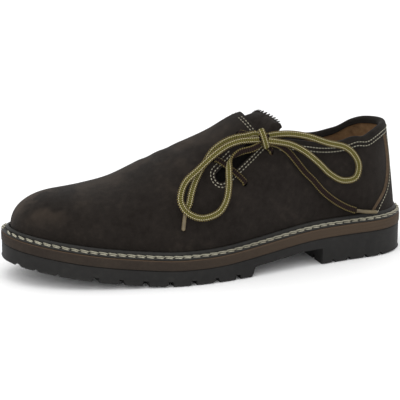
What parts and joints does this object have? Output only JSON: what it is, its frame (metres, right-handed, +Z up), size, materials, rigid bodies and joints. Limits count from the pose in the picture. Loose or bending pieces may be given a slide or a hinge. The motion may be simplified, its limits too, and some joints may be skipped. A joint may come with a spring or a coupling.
{
  "type": "haferl shoe",
  "caption": "Low leather country shoe laced on its outer side, with a hollow upper, stitched storm welt, brown midsole and cleated rubber sole with a moulded heel.",
  "frame": {"origin": "flat spot under the middle of the heel, on the ground plane", "axes": "+X from the toe to the heel along the shoe, +Y towards the inner side of the foot, +Z up"},
  "size_m": [0.302, 0.1079, 0.1084],
  "materials": {
    "outsole_rubber": "black cleated rubber, satin, with a moulded heel",
    "midsole_brown": "brown midsole, matte",
    "welt_leather": "dark waxed leather welt with two rows of cream stitching",
    "insole_suede": "tan suede",
    "nubuck": "dark grey-brown waxed nubuck with a soft nap",
    "nubuck_dark": "dark grey-brown nubuck, edges and inner strips",
    "lace": "braided lace, olive with cream edges on a brown ground",
    "aglet": "hard lace tip"
  },
  "bodies": {
    "root": {"outsole": "outsole_rubber", "midsole": "midsole_brown", "welt": "welt_leather", "insole": "insole_suede", "upper": "nubuck", "collar_binding": "nubuck_dark", "heel_counter": "nubuck", "tongue": "nubuck_dark", "lace_bar_upper": "lace", "lace_bar_lower": "lace", "lace_knot": "lace", "lace_loop_front": "lace", "lace_loop_rear": "lace", "lace_end_front": "lace", "lace_end_rear": "lace", "aglet_front": "aglet", "aglet_rear": "aglet"}
  },
  "joints": []
}
